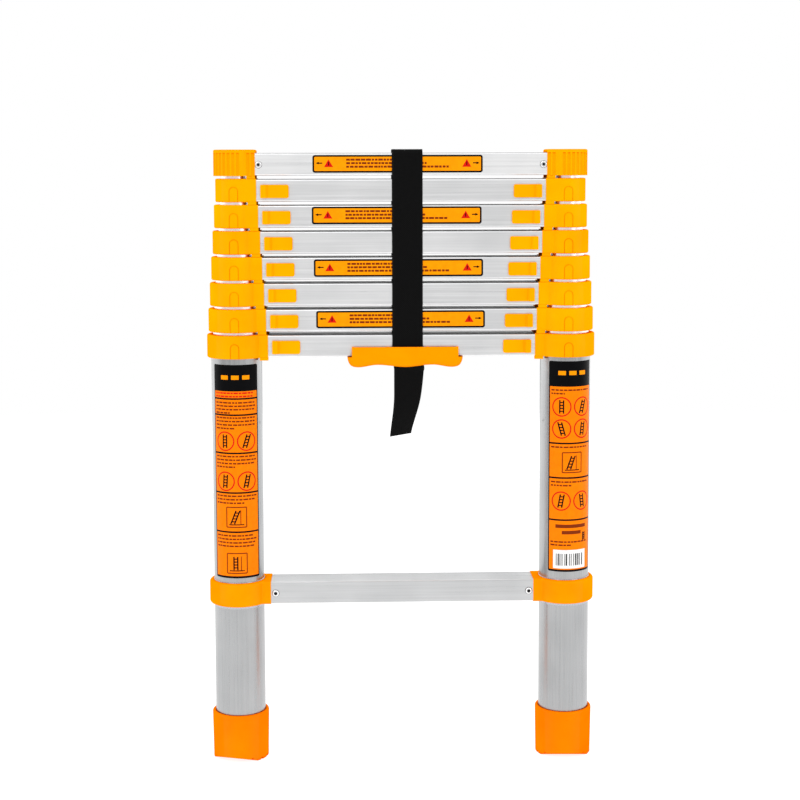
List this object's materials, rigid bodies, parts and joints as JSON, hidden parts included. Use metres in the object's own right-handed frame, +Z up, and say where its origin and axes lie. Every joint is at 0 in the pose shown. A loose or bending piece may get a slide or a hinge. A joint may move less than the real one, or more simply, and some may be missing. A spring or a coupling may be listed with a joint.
{
  "type": "telescoping ladder",
  "caption": "Closed telescoping ladder: nested round aluminium stile tubes in moulded collars, box rungs with slide latches, rubber feet, a carrying handle and a webbing strap.",
  "frame": {"origin": "on the floor, midway between the two stile axes", "axes": "+Z up along the stiles, X along the rungs, front (buttons, handle plate and labels) at -Y"},
  "size_m": [0.4638, 0.0708, 0.7337],
  "materials": {
    "tube_aluminium": "satin anodised",
    "rung_aluminium": "fine brushed, anodised",
    "collar_plastic": "moulded, satin",
    "button_plastic": "moulded, satin",
    "handle_plastic": "moulded, semi-gloss",
    "foot_rubber": "moulded rubber, satin",
    "webbing": "woven",
    "rivet_steel": "bright",
    "spring_steel": "oiled"
  },
  "bodies": {
    "base": {"feet": "foot_rubber", "bottom_collars": "collar_plastic", "bottom_rung": "rung_aluminium", "bottom_rivets": "rivet_steel", "stile_tubes_1": "tube_aluminium", "collars_1": "collar_plastic", "rung_1": "rung_aluminium", "carry_handle": "handle_plastic", "latch_spring_1_left": "spring_steel", "latch_spring_1_right": "spring_steel"},
    "section_2": {"stile_tubes_2": "tube_aluminium", "rung_2": "rung_aluminium", "collars_2": "collar_plastic", "latch_spring_2_left": "spring_steel", "latch_spring_2_right": "spring_steel"},
    "section_3": {"stile_tubes_3": "tube_aluminium", "rung_3": "rung_aluminium", "collars_3": "collar_plastic", "latch_spring_3_left": "spring_steel", "latch_spring_3_right": "spring_steel"},
    "section_4": {"stile_tubes_4": "tube_aluminium", "rung_4": "rung_aluminium", "collars_4": "collar_plastic", "latch_spring_4_left": "spring_steel", "latch_spring_4_right": "spring_steel"},
    "section_5": {"stile_tubes_5": "tube_aluminium", "rung_5": "rung_aluminium", "collars_5": "collar_plastic", "latch_spring_5_left": "spring_steel", "latch_spring_5_right": "spring_steel"},
    "section_6": {"stile_tubes_6": "tube_aluminium", "rung_6": "rung_aluminium", "collars_6": "collar_plastic", "latch_spring_6_left": "spring_steel", "latch_spring_6_right": "spring_steel"},
    "section_7": {"stile_tubes_7": "tube_aluminium", "rung_7": "rung_aluminium", "collars_7": "collar_plastic", "latch_spring_7_left": "spring_steel", "latch_spring_7_right": "spring_steel"},
    "section_8": {"stile_tubes_8": "tube_aluminium", "rung_8": "rung_aluminium", "top_caps": "collar_plastic", "top_rivets": "rivet_steel", "strap": "webbing"},
    "slider_1_left": {"latch_1_left": "button_plastic"},
    "slider_1_right": {"latch_1_right": "button_plastic"},
    "slider_2_left": {"latch_2_left": "button_plastic"},
    "slider_2_right": {"latch_2_right": "button_plastic"},
    "slider_3_left": {"latch_3_left": "button_plastic"},
    "slider_3_right": {"latch_3_right": "button_plastic"},
    "slider_4_left": {"latch_4_left": "button_plastic"},
    "slider_4_right": {"latch_4_right": "button_plastic"},
    "slider_5_left": {"latch_5_left": "button_plastic"},
    "slider_5_right": {"latch_5_right": "button_plastic"},
    "slider_6_left": {"latch_6_left": "button_plastic"},
    "slider_6_right": {"latch_6_right": "button_plastic"},
    "slider_7_left": {"latch_7_left": "button_plastic"},
    "slider_7_right": {"latch_7_right": "button_plastic"}
  },
  "joints": [
    {"name": "section_2_slide", "type": "slide", "parent": "base", "child": "section_2", "axis": [0, 0, 1], "range_m": [0, 0.2664]},
    {"name": "section_3_slide", "type": "slide", "parent": "section_2", "child": "section_3", "axis": [0, 0, 1], "range_m": [0, 0.2664]},
    {"name": "section_4_slide", "type": "slide", "parent": "section_3", "child": "section_4", "axis": [0, 0, 1], "range_m": [0, 0.2664]},
    {"name": "section_5_slide", "type": "slide", "parent": "section_4", "child": "section_5", "axis": [0, 0, 1], "range_m": [0, 0.2664]},
    {"name": "section_6_slide", "type": "slide", "parent": "section_5", "child": "section_6", "axis": [0, 0, 1], "range_m": [0, 0.2664]},
    {"name": "section_7_slide", "type": "slide", "parent": "section_6", "child": "section_7", "axis": [0, 0, 1], "range_m": [0, 0.2664]},
    {"name": "section_8_slide", "type": "slide", "parent": "section_7", "child": "section_8", "axis": [0, 0, 1], "range_m": [0, 0.2664], "deforming": ["strap"]},
    {"name": "button_1_left_slide", "type": "slide", "parent": "base", "child": "slider_1_left", "axis": [1, 0, 0], "range_m": [0, 0.008], "stiffness_N_per_m": 800, "springref_m": -0.004, "deforming": ["latch_spring_1_left"]},
    {"name": "button_1_right_slide", "type": "slide", "parent": "base", "child": "slider_1_right", "axis": [-1, 0, 0], "range_m": [0, 0.008], "stiffness_N_per_m": 800, "springref_m": -0.004, "deforming": ["latch_spring_1_right"]},
    {"name": "button_2_left_slide", "type": "slide", "parent": "section_2", "child": "slider_2_left", "axis": [1, 0, 0], "range_m": [0, 0.008], "stiffness_N_per_m": 800, "springref_m": -0.004, "deforming": ["latch_spring_2_left"]},
    {"name": "button_2_right_slide", "type": "slide", "parent": "section_2", "child": "slider_2_right", "axis": [-1, 0, 0], "range_m": [0, 0.008], "stiffness_N_per_m": 800, "springref_m": -0.004, "deforming": ["latch_spring_2_right"]},
    {"name": "button_3_left_slide", "type": "slide", "parent": "section_3", "child": "slider_3_left", "axis": [1, 0, 0], "range_m": [0, 0.008], "stiffness_N_per_m": 800, "springref_m": -0.004, "deforming": ["latch_spring_3_left"]},
    {"name": "button_3_right_slide", "type": "slide", "parent": "section_3", "child": "slider_3_right", "axis": [-1, 0, 0], "range_m": [0, 0.008], "stiffness_N_per_m": 800, "springref_m": -0.004, "deforming": ["latch_spring_3_right"]},
    {"name": "button_4_left_slide", "type": "slide", "parent": "section_4", "child": "slider_4_left", "axis": [1, 0, 0], "range_m": [0, 0.008], "stiffness_N_per_m": 800, "springref_m": -0.004, "deforming": ["latch_spring_4_left"]},
    {"name": "button_4_right_slide", "type": "slide", "parent": "section_4", "child": "slider_4_right", "axis": [-1, 0, 0], "range_m": [0, 0.008], "stiffness_N_per_m": 800, "springref_m": -0.004, "deforming": ["latch_spring_4_right"]},
    {"name": "button_5_left_slide", "type": "slide", "parent": "section_5", "child": "slider_5_left", "axis": [1, 0, 0], "range_m": [0, 0.008], "stiffness_N_per_m": 800, "springref_m": -0.004, "deforming": ["latch_spring_5_left"]},
    {"name": "button_5_right_slide", "type": "slide", "parent": "section_5", "child": "slider_5_right", "axis": [-1, 0, 0], "range_m": [0, 0.008], "stiffness_N_per_m": 800, "springref_m": -0.004, "deforming": ["latch_spring_5_right"]},
    {"name": "button_6_left_slide", "type": "slide", "parent": "section_6", "child": "slider_6_left", "axis": [1, 0, 0], "range_m": [0, 0.008], "stiffness_N_per_m": 800, "springref_m": -0.004, "deforming": ["latch_spring_6_left"]},
    {"name": "button_6_right_slide", "type": "slide", "parent": "section_6", "child": "slider_6_right", "axis": [-1, 0, 0], "range_m": [0, 0.008], "stiffness_N_per_m": 800, "springref_m": -0.004, "deforming": ["latch_spring_6_right"]},
    {"name": "button_7_left_slide", "type": "slide", "parent": "section_7", "child": "slider_7_left", "axis": [1, 0, 0], "range_m": [0, 0.008], "stiffness_N_per_m": 800, "springref_m": -0.004, "deforming": ["latch_spring_7_left"]},
    {"name": "button_7_right_slide", "type": "slide", "parent": "section_7", "child": "slider_7_right", "axis": [-1, 0, 0], "range_m": [0, 0.008], "stiffness_N_per_m": 800, "springref_m": -0.004, "deforming": ["latch_spring_7_right"]}
  ]
}
